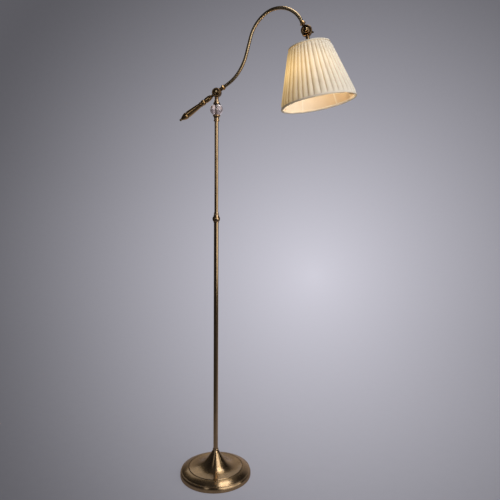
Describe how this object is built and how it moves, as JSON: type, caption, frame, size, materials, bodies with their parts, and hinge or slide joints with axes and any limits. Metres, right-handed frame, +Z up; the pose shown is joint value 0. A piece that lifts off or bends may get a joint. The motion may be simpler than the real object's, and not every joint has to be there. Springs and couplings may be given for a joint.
{
  "type": "reading floor lamp",
  "caption": "Brass reading floor lamp: weighted round base, two-stage column with a glass ball, tilting twisted arm with a turned handle, tilting pleated cloth shade.",
  "frame": {"origin": "centre of the base on the floor", "axes": "+Z up the column, +X the way the arm points, the hinge pins lie along Y and their ball ends face -Y"},
  "size_m": [0.5859, 0.2522, 1.5919],
  "materials": {
    "felt": "dark pressed felt",
    "iron": "painted cast iron",
    "antique_brass": "patinated brass, satin, lacquered",
    "dark_brass": "dark patinated brass",
    "steel": "zinc-plated",
    "dark_plastic": "moulded thermoset plastic",
    "clear_glass": "clear moulded glass, fluted",
    "white_wire": "white lacquered wire",
    "shade_cloth": "cream pleated cloth",
    "lining_cloth": "smooth white lining",
    "opal_glass": "opal glass"
  },
  "bodies": {
    "stand": {"base_felt": "felt", "base_weight": "iron", "base_shell": "antique_brass", "base_washer": "steel", "base_nut": "steel", "cord_inlet": "dark_plastic", "base_stud": "steel", "foot_collar": "antique_brass", "lower_plug": "steel", "lower_tube": "antique_brass", "guide_bush": "dark_brass"},
    "clamp": {"clamp_ball": "antique_brass"},
    "upper_column": {"slide_bush": "dark_brass", "upper_tube": "antique_brass", "upper_plug": "steel", "lower_cup": "antique_brass", "glass_ball": "clear_glass", "ball_stud": "steel", "upper_cup": "antique_brass", "column_knuckle": "antique_brass", "column_pin": "dark_brass", "column_pin_ball": "dark_brass", "column_washer": "steel"},
    "column_clamp_lever": {"column_lever": "dark_brass"},
    "arm": {"hub_knuckle": "antique_brass", "handle_barrel": "antique_brass", "handle_vase": "antique_brass", "handle_grip": "antique_brass", "handle_finial": "antique_brass", "handle_tip": "dark_brass", "handle_rod": "steel", "arm_ferrule": "antique_brass", "arm_tube": "dark_brass", "arm_bell": "antique_brass", "arm_knuckle": "antique_brass", "shade_pin": "dark_brass", "shade_pin_ball": "dark_brass", "shade_washer": "steel"},
    "shade_clamp_lever": {"shade_lever": "dark_brass"},
    "shade": {"shade_knuckle": "antique_brass", "holder_stem": "antique_brass", "holder_cap": "antique_brass", "holder_body": "dark_plastic", "holder_contact": "steel", "ring_nuts": "dark_plastic", "shade_carrier": "white_wire", "bottom_ring": "white_wire", "shade_struts": "white_wire", "shade_cover": "shade_cloth", "shade_lining": "lining_cloth", "top_binding": "shade_cloth", "bottom_binding": "shade_cloth", "bulb_cap": "steel", "bulb_glass": "opal_glass"}
  },
  "joints": [
    {"name": "column_height", "type": "slide", "parent": "stand", "child": "upper_column", "axis": [0, 0, 1], "range_m": [-0.3, 0.12]},
    {"name": "clamp_turn", "type": "hinge", "parent": "stand", "child": "clamp", "pos_m": [0, 0, 0.9086], "axis": [0, 0, 1], "range_deg": [0, 90]},
    {"name": "arm_tilt", "type": "hinge", "parent": "upper_column", "child": "arm", "pos_m": [0, 0, 1.328], "axis": [0, 1, 0], "range_deg": [-15, 50]},
    {"name": "column_lever_turn", "type": "hinge", "parent": "upper_column", "child": "column_clamp_lever", "pos_m": [0, 0.0125, 1.328], "axis": [0, 1, 0], "range_deg": [0, 90]},
    {"name": "shade_tilt", "type": "hinge", "parent": "arm", "child": "shade", "pos_m": [0.29281, 0, 1.51186], "axis": [0, 1, 0], "range_deg": [-60, 30]},
    {"name": "shade_lever_turn", "type": "hinge", "parent": "arm", "child": "shade_clamp_lever", "pos_m": [0.29281, 0.0125, 1.51186], "axis": [0, 1, 0], "range_deg": [0, 90]}
  ]
}
